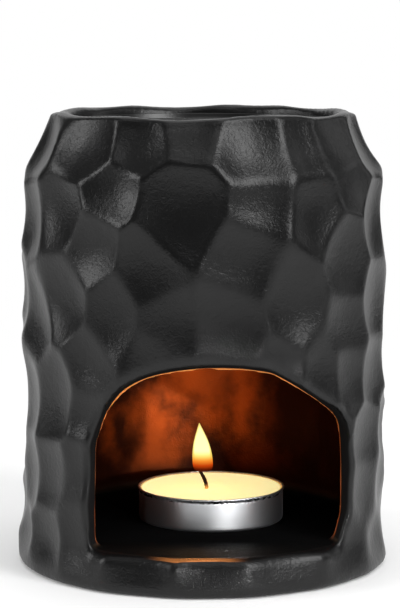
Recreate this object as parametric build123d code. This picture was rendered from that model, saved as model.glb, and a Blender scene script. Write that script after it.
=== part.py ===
from build123d import *
from math import asin, atan2, cos, radians, sin, sqrt
import os

# An oil burner: a hand hammered ceramic pot with an arched window in its wall,
# a dish for water and oil let into its mouth, and a tealight on its floor.
# The origin is the middle of the foot on the table, +Z is up and the window looks along -Y.

# Pot, outside
burner_height = 115.5
foot_radius = 47.8
wall_taper = 0.9
shoulder_drop = 25.5
foot_round = 2.0

# Pot, mouth and rim
mouth_radius = 34.7
rim_wall = 4.4
rim_round = 1.6
ledge_drop = 10.5
ledge_thickness = 4.0
ledge_width = 2.2
rim_dip_depth = 1.0
rim_dip_radius = 80.0

# Pot, inside
wall_thickness = 6.6
floor_height = 9.6
floor_cove = 2.5
ceiling_drop = 29.5
foot_ring_width = 11.8
foot_ring_height = 3.5

# Hammer faces beaten into the clay
hammer_radius = 80.0
hammer_depth = 2.0

# Window in the wall
window_width = 64.0
window_height = 47.4
window_shift = 4.0
side_splay_share = 0.47
top_splay_share = 0.18

# Dish
dish_wall = 3.0
dish_rim_height = 6.0
dish_lip_bevel = 0.8
dish_depth = 31.0
dish_round = 90.0
dish_foot_bevel = 2.0
dish_clearance = 0.3

# Tealight
tealight_radius = 19.0
tealight_height = 8.0
tealight_place = (2.1, 2.0)
cup_wall = 0.4
cup_bead = 0.5
cup_corner = 0.8
wax_drop = 0.9
wax_dip = 0.5
wax_clearance = 0.05
wick_radius = 0.75
wick_strands = 8
wick_stand = 4.7
wick_lean = 2.9
tab_radius = 7.5
tab_thickness = 0.4
crimp_wall = 0.5
crimp_height = 3.0
wick_clearance = 0.05

# Small rounds are made as flats, this many to a quarter turn
round_flats = 2
bead_flats = 4
overrun = 3.0

# Where the hammer fell: turn from the front in degrees, then shares of the burner's height,
# of the depth of a blow and of the hammer's radius. The first block is what the window side shows.
front_strike_shares = [
    (-90, 0.360, 1.30, 2.10), (90, 0.490, 1.00, 1.60),
    (-72, 0.925, 0.95, 1.00), (-45, 0.938, 1.05, 0.95), (-21.5, 0.950, 0.90, 0.85), (-3.5, 0.968, 0.80, 0.85),
    (18, 0.938, 1.15, 1.25), (36, 0.942, 0.80, 0.80), (53, 0.940, 1.00, 0.90), (72, 0.925, 1.00, 0.95),
    (-70, 0.775, 1.00, 0.95), (-50, 0.805, 1.05, 1.00), (-30, 0.848, 0.95, 0.85), (-7.5, 0.818, 1.40, 1.25),
    (17, 0.818, 0.95, 1.00), (38, 0.800, 1.00, 1.00), (56, 0.845, 0.85, 0.85), (70, 0.775, 1.00, 0.95),
    (-36.5, 0.722, 0.90, 0.85), (-16.5, 0.690, 0.95, 1.10), (12, 0.700, 1.10, 1.10), (51, 0.690, 1.00, 1.05),
    (28, 0.612, 1.10, 1.10), (51, 0.560, 0.90, 1.00), (69, 0.600, 0.90, 0.95), (-48, 0.610, 0.95, 0.90),
    (-64, 0.560, 0.90, 0.90), (-28, 0.585, 0.85, 1.00), (-12.5, 0.590, 0.80, 1.00), (9, 0.578, 1.20, 1.25),
    (-37.5, 0.475, 0.85, 0.90), (-16, 0.500, 0.75, 0.90), (24, 0.500, 0.85, 0.90), (38, 0.470, 0.75, 0.90),
    (-54, 0.395, 0.95, 0.90), (-38.5, 0.375, 0.75, 0.75), (-70, 0.385, 0.85, 0.90), (-70, 0.225, 0.90, 0.90),
    (-54, 0.225, 0.85, 0.85), (-41.5, 0.240, 0.75, 0.80), (-41, 0.095, 0.75, 0.80), (-57, 0.090, 0.80, 0.80),
    (-75, 0.095, 0.75, 0.80), (68, 0.440, 0.95, 0.90), (52, 0.455, 0.80, 0.85), (63, 0.305, 0.90, 0.85),
    (81, 0.300, 0.80, 0.90), (61, 0.180, 0.85, 0.85), (78, 0.175, 0.80, 0.90), (52, 0.085, 0.80, 0.85),
    (70, 0.075, 0.75, 0.75), (-20, 0.085, 0.80, 1.20), (2, 0.085, 0.80, 1.20), (26, 0.085, 0.85, 1.30),
]
back_strike_shares = [
    (92, 0.940, 0.90, 0.90), (113, 0.925, 1.10, 1.10), (136, 0.950, 1.00, 0.95), (156, 0.930, 1.00, 1.00),
    (178, 0.940, 1.15, 1.25), (201, 0.930, 0.95, 0.90), (219, 0.945, 1.00, 0.95), (241, 0.930, 1.10, 1.10),
    (265, 0.940, 1.00, 0.95), (88, 0.775, 0.95, 0.95), (108, 0.790, 0.95, 0.95), (131, 0.765, 1.20, 1.25),
    (155, 0.790, 0.95, 0.90), (178, 0.770, 1.05, 1.05), (203, 0.775, 1.15, 1.15), (228, 0.790, 1.00, 1.00),
    (249, 0.770, 0.95, 0.90), (269, 0.790, 1.05, 1.00), (97, 0.600, 1.00, 1.00), (119, 0.610, 1.00, 1.00),
    (143, 0.600, 1.10, 1.10), (167, 0.620, 0.95, 1.00), (190, 0.590, 1.15, 1.15), (214, 0.610, 1.00, 0.95),
    (237, 0.600, 1.10, 1.10), (258, 0.610, 0.95, 1.00), (278, 0.600, 0.90, 0.95), (108, 0.430, 1.00, 1.05),
    (131, 0.440, 1.00, 1.00), (155, 0.420, 1.10, 1.10), (179, 0.435, 0.95, 1.00), (202, 0.425, 1.10, 1.10),
    (225, 0.440, 0.95, 1.00), (246, 0.425, 1.05, 1.10), (98, 0.260, 0.95, 1.00),
    (119, 0.265, 1.05, 1.10), (143, 0.255, 1.00, 1.05), (166, 0.270, 0.95, 1.00), (190, 0.250, 1.10, 1.10),
    (213, 0.265, 1.00, 1.05), (235, 0.250, 1.00, 1.10), (256, 0.260, 0.95, 0.95), (275, 0.160, 0.80, 0.90),
    (87, 0.085, 0.80, 0.85), (107, 0.100, 0.85, 0.85), (130, 0.095, 0.85, 0.90), (154, 0.100, 0.80, 0.85),
    (178, 0.090, 0.85, 0.85), (201, 0.095, 0.80, 0.85), (223, 0.100, 0.80, 0.85), (245, 0.085, 0.80, 0.85),
    (264, 0.080, 0.75, 0.80),
]

# Dips worn into the rim: turn from the front in degrees, share of the dip depth, share of the dip radius
rim_dip_shares = [
    (-9, 1.00, 1.20), (-52, 0.70, 1.00), (53, 0.90, 0.60), (92, 0.70, 1.00), (128, 0.80, 0.90),
    (158, 0.45, 0.80), (191, 1.10, 1.00), (226, 0.60, 1.00), (264, 0.90, 1.10),
]

# Window outline on the wall, from the left of the sill round to the right: share of half the width
# across, share of the height up, and whether the point is the middle of an arc.
window_shares = [
    (-1.000, 0.000, False), (-0.988, 0.494, False), (-0.828, 0.800, True), (-0.500, 0.954, False),
    (-0.031, 1.000, True), (0.406, 0.962, False), (0.844, 0.747, False), (0.950, 0.655, True),
    (0.985, 0.545, False), (1.000, 0.177, False), (0.931, 0.000, False),
]

# Sizes that follow from the ones above
waist_radius = foot_radius - wall_taper
shoulder_start = burner_height - shoulder_drop
rim_outer = mouth_radius + rim_wall
rim_start = burner_height - rim_round
chamber_radius = foot_radius - wall_thickness
ceiling_start = burner_height - ceiling_drop
ledge_height = burner_height - ledge_drop
ledge_underside = ledge_height - ledge_thickness
ledge_radius = mouth_radius - ledge_width
foot_ring_inner = foot_radius - foot_ring_width
cup_outer = tealight_radius - 2 * cup_bead + cup_wall
wax_top = tealight_height - wax_drop
standing = (Align.CENTER, Align.CENTER, Align.MIN)


def lean_arc(start_radius, start_height, end_radius, end_height):
    """Centre and radius of the arc that leaves a wall upright and leans in to its end."""
    rise = end_height - start_height
    centre = (start_radius ** 2 - end_radius ** 2 - rise ** 2) / (2 * (start_radius - end_radius))
    return centre, start_radius - centre


def shoulder_arc():
    """The arc by which the wall leans in to the rim."""
    centre, curve = lean_arc(waist_radius, shoulder_start, rim_outer, rim_start)
    half_turn = asin((rim_start - shoulder_start) / curve) / 2
    middle = (centre + curve * cos(half_turn), shoulder_start + curve * sin(half_turn))
    return ThreePointArc((waist_radius, shoulder_start), middle, (rim_outer, rim_start))


def rounding(centre, across, up, first_turn, last_turn):
    """Points of a small round about its centre, from one turn in degrees to another."""
    steps = round(round_flats * abs(last_turn - first_turn) / 90)
    turns = [radians(first_turn + (last_turn - first_turn) * step / steps) for step in range(steps + 1)]
    return [(centre[0] + across * cos(turn), centre[1] + up * sin(turn)) for turn in turns]


def wall_place(height):
    """Radius of the smooth wall at a height, and how far its face leans back there."""
    if height <= shoulder_start:
        return foot_radius - wall_taper * height / shoulder_start, atan2(wall_taper, shoulder_start)
    centre, curve = lean_arc(waist_radius, shoulder_start, rim_outer, rim_start)
    lean = asin((height - shoulder_start) / curve)
    return centre + curve * cos(lean), lean


def thrown_pot():
    """The pot as turned, before the hammering: wall, rim, ledge, floor and foot in one section."""
    foot_centre = (foot_radius - foot_round, foot_round)
    lip_centre = (mouth_radius + rim_wall / 2, rim_start)
    cove_centre = (chamber_radius - floor_cove, floor_height + floor_cove)
    foot = Polyline(
        (0, foot_ring_height),
        (foot_ring_inner, foot_ring_height),
        (foot_ring_inner + foot_ring_height / 2, 0),
        *rounding(foot_centre, foot_round, foot_round, -90, 0),
        (waist_radius, shoulder_start),
    )
    inside = Polyline(
        *rounding(lip_centre, rim_wall / 2, rim_round, 0, 180),
        (mouth_radius, ledge_height),
        (ledge_radius, ledge_height),
        (ledge_radius, ledge_underside),
        (mouth_radius + ledge_width, ledge_underside),
        (chamber_radius, ceiling_start),
        *rounding(cove_centre, floor_cove, floor_cove, 0, -90),
        (0, floor_height),
        (0, foot_ring_height),
    )
    return revolve(Plane.XZ * make_face(foot + shoulder_arc() + inside), Axis.Z)


def hammer_face(turn, height, depth, radius):
    """A ball that lies against the wall and reaches the depth of one blow into it."""
    wall, lean = wall_place(height)
    turned = radians(turn)
    outward = Vector(sin(turned) * cos(lean), -cos(turned) * cos(lean), sin(lean))
    across = Vector(cos(turned), sin(turned), 0)
    struck = Vector(wall * sin(turned), -wall * cos(turned), height)
    return Plane(struck + outward * (radius - depth), x_dir=outward, z_dir=across) * Sphere(radius)


def rim_dip(turn, depth, radius):
    """A ball that presses a shallow dip into the rim from above."""
    turned = radians(turn)
    middle = mouth_radius + rim_wall / 2
    centre = Vector(middle * sin(turned), -middle * cos(turned), burner_height - depth + radius)
    across = Vector(cos(turned), sin(turned), 0)
    return Plane(centre, x_dir=Vector(0, 0, 1), z_dir=across) * Sphere(radius)


def window_point(across_share, up_share, depth):
    """A point of the window's splayed side on the upright plane at a depth along Y."""
    across = across_share * window_width / 2
    from_middle = window_shift + across
    wall = -sqrt(waist_radius ** 2 - from_middle ** 2)
    inward = depth - wall
    return (
        from_middle - across_share * side_splay_share * inward,
        depth,
        floor_height + up_share * window_height - up_share ** 2 * top_splay_share * inward,
    )


def window_section(depth):
    """The window's outline on one upright plane, its straight and curved stretches in order."""
    points = [window_point(across, up, depth) for across, up, _ in window_shares]
    edges = []
    here = 0
    while here < len(points) - 1:
        if window_shares[here + 1][2]:
            edges.append(ThreePointArc(points[here], points[here + 1], points[here + 2]))
            here += 2
        else:
            edges.append(Line(points[here], points[here + 1]))
            here += 1
    edges.append(Line(points[-1], points[0]))
    return Wire([edge.edge() for edge in edges])


def window_cut():
    """Everything that the window takes out of the wall, splayed towards the outside."""
    front = window_section(-foot_radius - overrun)
    back = window_section(-chamber_radius / 2)
    return Solid.make_loft([front, back], ruled=True)


def burner_shell():
    """The pot: turned, hammered all over, its rim dipped, its window cut."""
    shell = thrown_pot()
    for turn, up, deep, wide in front_strike_shares + back_strike_shares:
        shell -= hammer_face(turn, up * burner_height, deep * hammer_depth, wide * hammer_radius)
    for turn, deep, wide in rim_dip_shares:
        shell -= rim_dip(turn, deep * rim_dip_depth, wide * rim_dip_radius)
    return shell - window_cut()


def round_bottom(radius, bottom):
    """A ball, lying on its side, that stands on a bottom height over the middle of the piece."""
    return Plane((0, 0, bottom + radius), x_dir=(0, 0, 1), z_dir=(1, 0, 0)) * Sphere(radius)


def oil_dish():
    """The dish: its rim stands on the ledge in the mouth, and its well has a rounded bottom."""
    outer = mouth_radius - dish_clearance
    well_outer = ledge_radius - dish_clearance
    well_inner = well_outer - dish_wall
    top = ledge_height + dish_rim_height
    bottom = top - dish_depth
    lip_start = top - dish_lip_bevel
    section = Polyline(
        (0, bottom - dish_wall),
        (well_outer - dish_foot_bevel, bottom - dish_wall),
        (well_outer, bottom - dish_wall + dish_foot_bevel),
        (well_outer, ledge_height),
        (outer, ledge_height),
        (outer, lip_start),
        (outer - dish_lip_bevel, top),
        (well_inner + dish_lip_bevel, top),
        (well_inner, lip_start),
        (well_inner, bottom),
        (0, bottom),
        (0, bottom - dish_wall),
    )
    well_edge = bottom + dish_round - sqrt(dish_round ** 2 - well_inner ** 2)
    fill = Pos(0, 0, bottom) * Cylinder(well_inner, well_edge - bottom, align=standing)
    turned = revolve(Plane.XZ * make_face(section), Axis.Z)
    return turned + (fill - round_bottom(dish_round, bottom))


def on_floor(piece):
    """Sets a piece of the tealight down where it stands in the pot."""
    return Pos(tealight_place[0], tealight_place[1], floor_height) * piece


def tealight_cup():
    """The pressed metal cup, with an eased corner below and a rolled bead on top."""
    bead_height = tealight_height - cup_bead
    inner = cup_outer - cup_wall
    inner_corner = cup_corner - cup_wall
    section = Polyline(
        (0, 0),
        (cup_outer - cup_corner, 0),
        (cup_outer, cup_corner),
        (cup_outer, bead_height),
        (inner, bead_height),
        (inner, cup_corner),
        (inner - inner_corner, cup_wall),
        (0, cup_wall),
        (0, 0),
    )
    bead = Pos(cup_outer + cup_bead - cup_wall, bead_height) * RegularPolygon(cup_bead, bead_flats)
    return on_floor(revolve(Plane.XZ * (make_face(section) + bead), Axis.Z))


def tealight_wax():
    """The wax: it fills the cup, dips a little in the middle and holds the wick and its tab."""
    outer = cup_outer - cup_wall - wax_clearance
    bore = wick_radius + wick_clearance
    pocket = tab_radius + wick_clearance
    tab_top = cup_wall + tab_thickness + wick_clearance
    crimp = bore + crimp_wall + wick_clearance
    crimp_top = cup_wall + tab_thickness + crimp_height + wick_clearance
    section = Polyline(
        (pocket, cup_wall),
        (outer - cup_corner + cup_wall, cup_wall),
        (outer, cup_corner),
        (outer, wax_top),
        (bore, wax_top),
        (bore, crimp_top),
        (crimp, crimp_top),
        (crimp, tab_top),
        (pocket, tab_top),
        (pocket, cup_wall),
    )
    dip_radius = (outer ** 2 + wax_dip ** 2) / (2 * wax_dip)
    block = revolve(Plane.XZ * make_face(section), Axis.Z)
    return on_floor(block - round_bottom(dip_radius, wax_top - wax_dip))


def wick_sustainer():
    """The metal tab under the wax, with the tube that is crimped round the wick."""
    tab = Pos(0, 0, cup_wall) * Cylinder(tab_radius, tab_thickness, align=standing)
    tube = Circle(wick_radius + wick_clearance + crimp_wall) - Circle(wick_radius + wick_clearance)
    return on_floor(tab + Pos(0, 0, cup_wall + tab_thickness) * extrude(tube, crimp_height))


def wick():
    """The wick: straight up through the wax, then bent over to the left where it has burnt."""
    start = cup_wall + tab_thickness
    bend = wax_top - wax_dip
    curve = (wick_lean ** 2 + wick_stand ** 2) / (2 * wick_lean)
    half_turn = asin(wick_stand / curve) / 2
    middle = (-curve + curve * cos(half_turn), 0, bend + curve * sin(half_turn))
    straight = Line((0, 0, start), (0, 0, bend))
    bent = ThreePointArc((0, 0, bend), middle, (-wick_lean, 0, bend + wick_stand))
    section = Pos(0, 0, start) * RegularPolygon(wick_radius, wick_strands)
    return on_floor(sweep(section, path=straight + bent))


pieces = {
    "burner_shell": burner_shell,
    "oil_dish": oil_dish,
    "tealight_cup": tealight_cup,
    "tealight_wax": tealight_wax,
    "wick_sustainer": wick_sustainer,
    "wick": wick,
}

os.makedirs("parts", exist_ok=True)
for name, make in pieces.items():
    export_step(make(), "parts/" + name + ".step")
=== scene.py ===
from math import asin, atan2, cos, exp, pi, radians, sin, sqrt, tan, tau

import bmesh
import bpy
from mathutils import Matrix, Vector


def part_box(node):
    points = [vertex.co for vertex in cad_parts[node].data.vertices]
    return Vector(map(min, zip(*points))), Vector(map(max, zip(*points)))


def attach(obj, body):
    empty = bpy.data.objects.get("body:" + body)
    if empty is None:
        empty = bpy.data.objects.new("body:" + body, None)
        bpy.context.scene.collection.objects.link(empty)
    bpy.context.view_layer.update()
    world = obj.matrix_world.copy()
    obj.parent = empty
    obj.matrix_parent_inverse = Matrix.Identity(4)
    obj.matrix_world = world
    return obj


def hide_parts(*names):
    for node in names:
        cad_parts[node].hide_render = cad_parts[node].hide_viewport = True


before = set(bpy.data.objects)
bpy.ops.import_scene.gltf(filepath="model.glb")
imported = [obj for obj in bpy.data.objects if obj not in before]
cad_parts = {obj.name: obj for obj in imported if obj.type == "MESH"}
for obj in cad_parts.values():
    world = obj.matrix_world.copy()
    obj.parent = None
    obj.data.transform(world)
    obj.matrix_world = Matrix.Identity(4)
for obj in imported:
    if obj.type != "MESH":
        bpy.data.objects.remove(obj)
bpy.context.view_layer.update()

bl_info = {
    "name": "Hammered oil burner",
    "version": (1, 0, 0),
    "blender": (4, 5, 0),
    "location": "View3D > Sidebar > Oil Burner",
    "description": "Makes a hammered ceramic oil burner, its lit tealight and its studio",
    "category": "Add Mesh",
}

mm = 0.001
tiny = 1e-7

# Where the hammer fell: turn from the front in degrees, then shares of the burner's height,
# of the depth of a blow and of the hammer's radius. The first block is what the window side shows.
front_strike_shares = [
    (-90, 0.360, 1.30, 2.10), (90, 0.490, 1.00, 1.60), (-72, 0.925, 0.95, 1.00),
    (-45, 0.938, 1.05, 0.95), (-21.5, 0.950, 0.90, 0.85), (-3.5, 0.968, 0.80, 0.85),
    (18, 0.938, 1.15, 1.25), (36, 0.942, 0.80, 0.80), (53, 0.940, 1.00, 0.90), (72, 0.925, 1.00, 0.95),
    (-70, 0.775, 1.00, 0.95), (-50, 0.805, 1.05, 1.00), (-30, 0.848, 0.95, 0.85),
    (-7.5, 0.818, 1.40, 1.25), (17, 0.818, 0.95, 1.00), (38, 0.800, 1.00, 1.00),
    (56, 0.845, 0.85, 0.85), (70, 0.775, 1.00, 0.95), (-36.5, 0.722, 0.90, 0.85),
    (-16.5, 0.690, 0.95, 1.10), (12, 0.700, 1.10, 1.10), (51, 0.690, 1.00, 1.05),
    (28, 0.612, 1.10, 1.10), (51, 0.560, 0.90, 1.00), (69, 0.600, 0.90, 0.95), (-48, 0.610, 0.95, 0.90),
    (-64, 0.560, 0.90, 0.90), (-28, 0.585, 0.85, 1.00), (-12.5, 0.590, 0.80, 1.00),
    (9, 0.578, 1.20, 1.25), (-37.5, 0.475, 0.85, 0.90), (-16, 0.500, 0.75, 0.90),
    (24, 0.500, 0.85, 0.90), (38, 0.470, 0.75, 0.90), (-54, 0.395, 0.95, 0.90),
    (-38.5, 0.375, 0.75, 0.75), (-70, 0.385, 0.85, 0.90), (-70, 0.225, 0.90, 0.90),
    (-54, 0.225, 0.85, 0.85), (-41.5, 0.240, 0.75, 0.80), (-41, 0.095, 0.75, 0.80),
    (-57, 0.090, 0.80, 0.80), (-75, 0.095, 0.75, 0.80), (68, 0.440, 0.95, 0.90),
    (52, 0.455, 0.80, 0.85), (63, 0.305, 0.90, 0.85), (81, 0.300, 0.80, 0.90), (61, 0.180, 0.85, 0.85),
    (78, 0.175, 0.80, 0.90), (52, 0.085, 0.80, 0.85), (70, 0.075, 0.75, 0.75), (-20, 0.085, 0.80, 1.20),
    (2, 0.085, 0.80, 1.20), (26, 0.085, 0.85, 1.30),
]
back_strike_shares = [
    (92, 0.940, 0.90, 0.90), (113, 0.925, 1.10, 1.10), (136, 0.950, 1.00, 0.95),
    (156, 0.930, 1.00, 1.00), (178, 0.940, 1.15, 1.25), (201, 0.930, 0.95, 0.90),
    (219, 0.945, 1.00, 0.95), (241, 0.930, 1.10, 1.10), (265, 0.940, 1.00, 0.95),
    (88, 0.775, 0.95, 0.95), (108, 0.790, 0.95, 0.95), (131, 0.765, 1.20, 1.25),
    (155, 0.790, 0.95, 0.90), (178, 0.770, 1.05, 1.05), (203, 0.775, 1.15, 1.15),
    (228, 0.790, 1.00, 1.00), (249, 0.770, 0.95, 0.90), (269, 0.790, 1.05, 1.00),
    (97, 0.600, 1.00, 1.00), (119, 0.610, 1.00, 1.00), (143, 0.600, 1.10, 1.10),
    (167, 0.620, 0.95, 1.00), (190, 0.590, 1.15, 1.15), (214, 0.610, 1.00, 0.95),
    (237, 0.600, 1.10, 1.10), (258, 0.610, 0.95, 1.00), (278, 0.600, 0.90, 0.95),
    (108, 0.430, 1.00, 1.05), (131, 0.440, 1.00, 1.00), (155, 0.420, 1.10, 1.10),
    (179, 0.435, 0.95, 1.00), (202, 0.425, 1.10, 1.10), (225, 0.440, 0.95, 1.00),
    (246, 0.425, 1.05, 1.10), (98, 0.260, 0.95, 1.00), (119, 0.265, 1.05, 1.10),
    (143, 0.255, 1.00, 1.05), (166, 0.270, 0.95, 1.00), (190, 0.250, 1.10, 1.10),
    (213, 0.265, 1.00, 1.05), (235, 0.250, 1.00, 1.10), (256, 0.260, 0.95, 0.95),
    (275, 0.160, 0.80, 0.90), (87, 0.085, 0.80, 0.85), (107, 0.100, 0.85, 0.85),
    (130, 0.095, 0.85, 0.90), (154, 0.100, 0.80, 0.85), (178, 0.090, 0.85, 0.85),
    (201, 0.095, 0.80, 0.85), (223, 0.100, 0.80, 0.85), (245, 0.085, 0.80, 0.85),
    (264, 0.080, 0.75, 0.80),
]

# Dips worn into the rim: turn from the front in degrees, share of the dip depth, share of the dip radius
rim_dip_shares = [
    (-9, 1.00, 1.20), (-52, 0.70, 1.00), (53, 0.90, 0.60), (92, 0.70, 1.00), (128, 0.80, 0.90),
    (158, 0.45, 0.80), (191, 1.10, 1.00), (226, 0.60, 1.00), (264, 0.90, 1.10),
]

# Window outline on the wall, from the left of the sill round to the right: share of half the width
# across, share of the height up, and whether the point is the middle of an arc.
window_shares = [
    (-1.000, 0.000, False), (-0.988, 0.494, False), (-0.828, 0.800, True), (-0.500, 0.954, False),
    (-0.031, 1.000, True), (0.406, 0.962, False), (0.844, 0.747, False), (0.950, 0.655, True),
    (0.985, 0.545, False), (1.000, 0.177, False), (0.931, 0.000, False),
]

# The flame's outline: share of its height, share of half its width
flame_shares = [
    (0.00, 0.00), (0.005, 0.45), (0.02, 0.76), (0.06, 0.92), (0.12, 0.98), (0.20, 1.00), (0.34, 0.97),
    (0.48, 0.88), (0.60, 0.74), (0.72, 0.55), (0.83, 0.34), (0.92, 0.17), (0.97, 0.07), (1.00, 0.00),
]

# The flame's colours from foot to tip: share of its height, colour
flame_tones = [
    (0.0, (0.10, 0.010, 0.001)), (0.08, (0.18, 0.015, 0.001)), (0.16, (0.66, 0.065, 0.004)),
    (0.25, (1.0, 0.31, 0.03)), (0.33, (1.0, 0.66, 0.12)), (0.45, (1.0, 0.80, 0.20)),
    (1.0, (1.0, 0.76, 0.18)),
]
core_tones = [
    (0.0, (1.0, 0.50, 0.08)), (0.18, (1.0, 0.85, 0.30)), (0.34, (1.0, 0.99, 0.80)),
    (1.0, (1.0, 0.97, 0.70)),
]

# The flame and its core: name, shares of the width, height and start, colours, then the ramps along
# the height of the strength of the glow and of how solid it is
flame_bodies = [
    ("flame", 1.0, 1.0, 0.0, flame_tones, (0.0, 0.1, 0.9, 1.0), (0.0, 0.16, 0.25, 0.86)),
    ("flame_core", 0.80, 0.74, 0.20, core_tones, (0.0, 0.3, 1.0, 3.6), (0.0, 0.34, 0.0, 1.0)),
]
flame_power = 0.0052
# The wax's glow is painted light: it stands in for the flame's light on the wax
wax_painted_glow = 0.70
glaze_gloss = 0.36

# How finely the pieces are turned, round the axis and along their outlines
pot_steps, dish_steps, cup_steps, wax_steps, flame_steps = 256, 192, 520, 128, 48
wall_rows, rim_rows, cup_rows, bead_rows, wax_rows, wick_rows, arc_steps = 14, 12, 12, 16, 32, 8, 14
wick_points, strand_sides = 70, 8

# Where the foil's rolled rim starts and how far it goes round, in degrees; how the wick and flame bend
bead_start, bead_sweep = -75, 255
wick_bend, flame_bend = 1.8, 1.4

# No blow reaches nearer to the axis than this; how softly the rim's dips join
least_entry = 20 * mm
rim_softness = 1.5 * mm

# Values that the meshes carry for their materials and trees
wall_depth, window_edge, ball_radius = "depth in wall", "window edge", "ball radius"

# The kind of a tree's input for each kind of value
socket_kinds = {int: "Int", float: "Float", tuple: "Vector", bpy.types.Object: "Object"}

white = (1.0, 1.0, 1.0, 1.0)
burner_middle = (0, 0, 0.06)
camera_place = (-0.75 * mm, -600 * mm, 142.5 * mm)
camera_tilt = 7.3


def length(name, description, default):
    """A length that a user may change."""
    return bpy.props.FloatProperty(
        name=name, description=description, default=default, unit="LENGTH", precision=5
    )


def share(name, description, default):
    """A share of something, from nothing to all of it."""
    return bpy.props.FloatProperty(
        name=name, description=description, default=default, min=0, max=1, subtype="FACTOR"
    )


def colour(name, description, default):
    """A colour that a user may change."""
    return bpy.props.FloatVectorProperty(
        name=name, description=description, default=default, size=3, min=0, max=1, subtype="COLOR"
    )


def whole(name, description, default):
    """A whole number that a user may change."""
    return bpy.props.IntProperty(name=name, description=description, default=default, min=0)


class PotSizes(bpy.types.PropertyGroup):
    """Sizes of the hammered pot."""

    height: length("Height", "Foot to the highest point of the rim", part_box("burner_shell")[1].z)
    foot_radius: length("Foot radius", "Outer radius at the foot, before the hammering", 47.6 * mm)
    wall_taper: length("Wall taper", "How much narrower the wall is at the shoulder", 0.9 * mm)
    shoulder_drop: length("Shoulder drop", "How far under the rim the wall begins to lean in", 25.5 * mm)
    foot_round: length("Foot round", "Rounding of the foot's outer edge", 2.2 * mm)
    mouth_radius: length("Mouth radius", "Inner radius of the rim", 34.7 * mm)
    rim_wall: length("Rim wall", "Thickness of the rim", 4.4 * mm)
    rim_round: length("Rim round", "Height over which the rim rounds off", 1.6 * mm)
    ledge_drop: length("Ledge drop", "How far under the rim the dish's ledge lies", 10.5 * mm)
    ledge_thickness: length("Ledge thickness", "Thickness of the dish's ledge", 4.0 * mm)
    ledge_width: length("Ledge width", "How far the ledge stands in from the rim", 2.2 * mm)
    wall_thickness: length("Wall thickness", "Thickness of the wall before the hammering", 6.4 * mm)
    floor_height: length("Floor height", "Height of the chamber's floor", 9.6 * mm)
    floor_cove: length("Floor cove", "Rounding between the floor and the chamber's wall", 2.5 * mm)
    ceiling_drop: length("Ceiling drop", "How far under the rim the chamber begins to close", 29.5 * mm)
    foot_ring_width: length("Foot ring width", "Width of the ring that the pot stands on", 11.8 * mm)
    foot_ring_height: length("Foot ring height", "How far the middle of the underside is raised", 3.5 * mm)
    clay_grain: length("Clay grain", "Size of the mesh's cells", 0.98 * mm)


class HammerSizes(bpy.types.PropertyGroup):
    """Sizes of the hammer's blows."""

    radius: length("Hammer radius", "Radius of the hammer's face", 34.0 * mm)
    depth: length("Blow depth", "Depth of a blow of full weight", 2.7 * mm)
    ridge_softness: length("Ridge softness", "How far glaze softens the ridges between blows", 0.8 * mm)
    inner_share: share("Inner share", "How much of a blow shows on the inner wall", 0.12)
    carry: length("Carry", "How far into the wall the blows carry", 5.0 * mm)
    foot_fade: length("Foot fade", "Height over which the blows fade out at the foot", 11.0 * mm)
    wander: length("Wander", "How far the wall wanders in and out between the blows", 0.35 * mm)
    drift: length("Blow drift", "How far the edges of the blows stray", 5.0 * mm)
    dip_depth: length("Rim dip depth", "Depth of a full dip in the rim", 1.0 * mm)
    dip_radius: length("Rim dip radius", "Radius of the tool that pressed the dips", 80.0 * mm)
    dip_reach: length("Rim dip reach", "How far down a dip draws the wall with it", 8.0 * mm)


class WindowSizes(bpy.types.PropertyGroup):
    """Sizes of the window in the wall."""

    width: length("Width", "Width at the wall's outer face", 65.6 * mm)
    height: length("Height", "Height over the floor", 47.4 * mm)
    shift: length("Shift", "How far its middle lies right of the pot's middle", 4.0 * mm)
    side_splay: share("Side splay", "How fast its sides close inwards", 0.58)
    top_splay: share("Top splay", "How fast its top closes inwards", 0.42)
    lip_round: length("Lip round", "How far from the cut its lips are rounded", 1.9 * mm)
    lip_passes: whole("Lip passes", "How many times its lips are eased", 4)


class DishSizes(bpy.types.PropertyGroup):
    """Sizes of the dish for water and oil."""

    gap: length("Gap", "Room between the dish and the pot", 0.3 * mm)
    wall: length("Wall", "Thickness of the well's wall", 3.0 * mm)
    rim_height: length("Rim height", "Height of the rim that stands on the ledge", 6.0 * mm)
    depth: length("Depth", "Depth of the well under the dish's rim", 31.0 * mm)
    bottom_round: length("Bottom round", "Rounding between the well's wall and bottom", 12.0 * mm)
    fillet: length("Glaze fillet", "Height of the glaze that has run into the joint", 1.8 * mm)


class TealightSizes(bpy.types.PropertyGroup):
    """Sizes of the tealight."""

    radius: length("Radius", "Outer radius of the cup's rolled rim", 19.0 * mm)
    height: length("Height", "Height of the cup", 8.5 * mm)
    place_x: length("Place across", "How far right of the pot's middle it stands", 2.1 * mm)
    place_y: length("Place back", "How far behind the pot's middle it stands", 2.0 * mm)
    foil: length("Foil", "Thickness of the cup's foil", 0.25 * mm)
    bead: length("Bead", "Radius of the rolled rim", 0.3 * mm)
    crimp_depth: length("Crimp depth", "Depth of the crimps under the rolled rim", 0.15 * mm)
    crimps: whole("Crimps", "How many crimps go round the rim", 104)
    wax_drop: length("Wax drop", "How far the wax lies under the rim", 0.55 * mm)
    wax_dip: length("Wax dip", "How far the wax dips in the middle", 0.5 * mm)
    wick_radius: length("Wick radius", "Radius of the wick", 0.55 * mm)
    wick_stand: length("Wick stand", "How far the wick stands over the wax", 4.9 * mm)
    wick_place: length("Wick place", "How far left of the cup's middle the wick stands", 1.1 * mm)
    wick_lean: length("Wick lean", "How far the burnt wick leans to the left", 1.9 * mm)
    flame_height: length("Flame height", "Height of the flame", 12.8 * mm)
    flame_width: length("Flame width", "Width of the flame", 5.3 * mm)
    flame_lean: length("Flame lean", "How far the flame's tip leans to the left", 1.0 * mm)


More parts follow.
